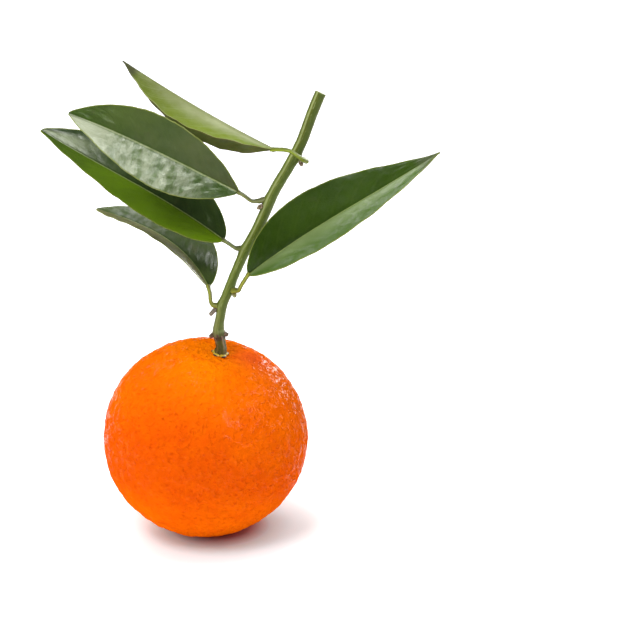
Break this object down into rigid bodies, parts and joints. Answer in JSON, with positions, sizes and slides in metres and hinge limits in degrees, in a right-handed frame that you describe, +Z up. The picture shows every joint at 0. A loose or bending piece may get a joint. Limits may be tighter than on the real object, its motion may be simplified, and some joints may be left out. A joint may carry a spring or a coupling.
{
  "type": "mandarin",
  "caption": "Fresh mandarin as picked, with its calyx, stalk, cut twig and folded leaves, resting upright on a small flat spot.",
  "frame": {"origin": "middle of the small flat spot on which the fruit rests", "axes": "+Z up from the surface, through the fruit's middle; the stalk leans towards +X and -Y, and the twig rises towards +X"},
  "size_m": [0.124, 0.0721, 0.1525],
  "materials": {
    "peel": "satin peel with fine oil-gland pores",
    "calyx_green": "matte",
    "stalk_brown": "matte, corky",
    "twig_green": "satin, ridged along its length",
    "petiole_green": "satin",
    "leaf_green": "glossy upper face, matte pale lower face",
    "dry_brown": "matte, dry"
  },
  "bodies": {
    "root": {"fruit": "peel", "calyx": "calyx_green", "peduncle": "stalk_brown", "twig": "twig_green", "scale_stub_left": "dry_brown", "scale_stub_right": "dry_brown", "dead_pedicel": "dry_brown", "petiole_1": "petiole_green", "petiole_2": "petiole_green", "petiole_3": "petiole_green", "petiole_4": "petiole_green", "petiole_5": "petiole_green", "leaf_1": "leaf_green", "leaf_2": "leaf_green", "leaf_3": "leaf_green", "leaf_4": "leaf_green", "leaf_5": "leaf_green", "bud_1": "dry_brown", "bud_2": "dry_brown", "bud_5": "dry_brown"}
  },
  "joints": []
}
